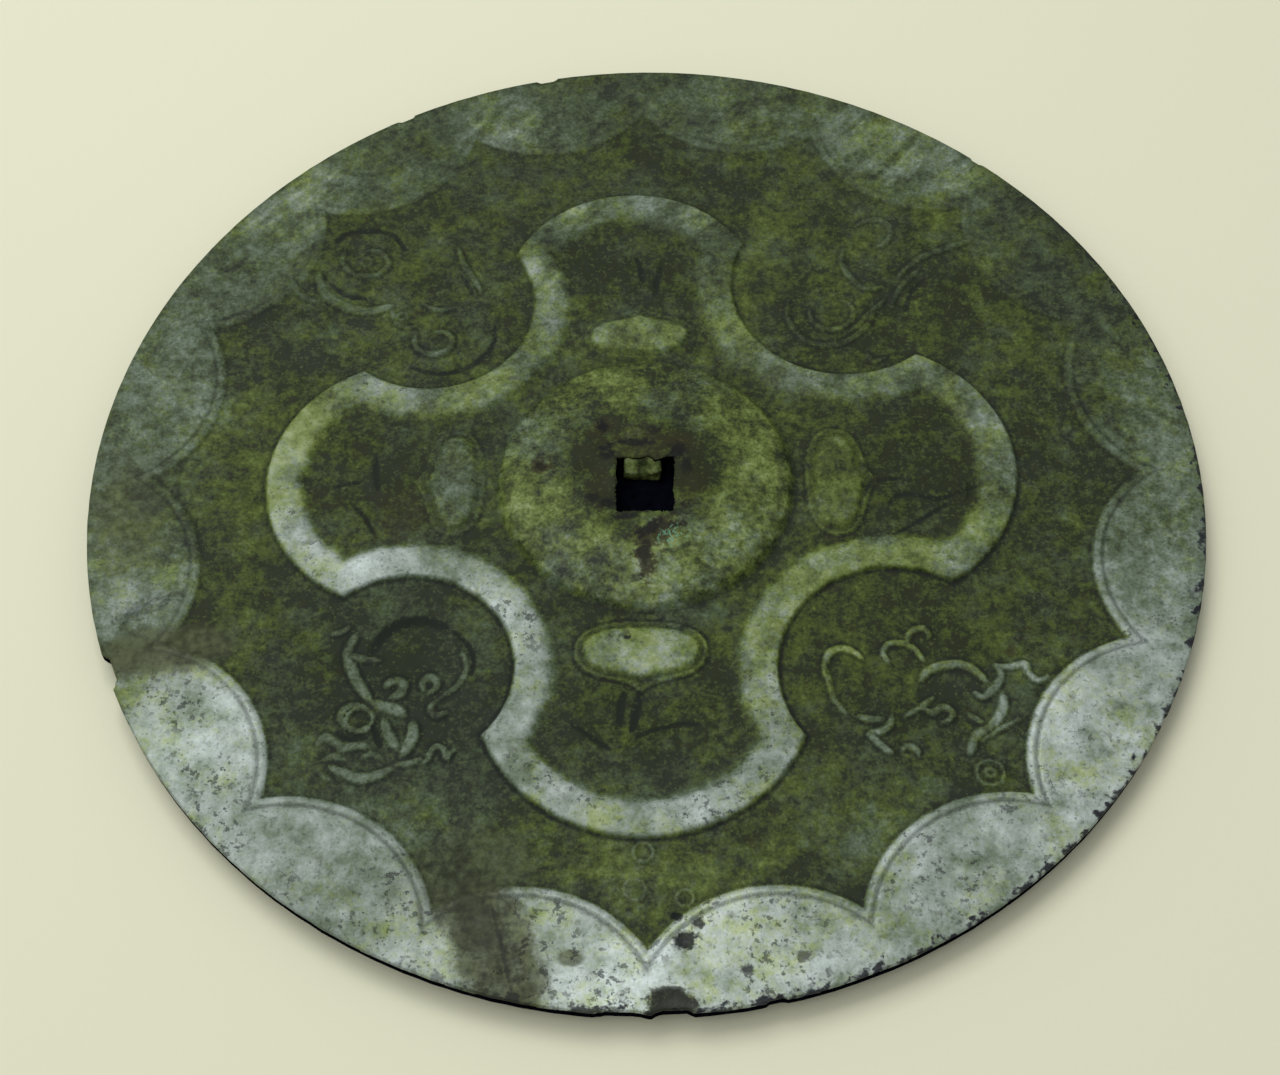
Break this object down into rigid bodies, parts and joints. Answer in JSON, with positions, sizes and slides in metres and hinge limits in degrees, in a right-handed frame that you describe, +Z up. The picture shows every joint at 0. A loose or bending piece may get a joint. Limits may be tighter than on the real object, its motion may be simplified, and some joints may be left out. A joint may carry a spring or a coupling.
{
  "type": "bronze mirror",
  "caption": "Round cast bronze mirror lying on its polished face: a thin dished disc with an arc-edged rim, a quatrefoil band, low bird scrolls and a broken central boss.",
  "frame": {"origin": "middle of the flat spot under the polished face, at the lowest and middle point of the mirror's box", "axes": "+Z up through the decorated back, -Y towards the pictured near edge, +X to the right of it"},
  "size_m": [0.16, 0.16, 0.0048],
  "materials": {
    "bronze": "cast bronze with an olive and grey-green patina, worn pale on the raised band and rim"
  },
  "bodies": {
    "root": {"mirror": "bronze"}
  },
  "joints": []
}
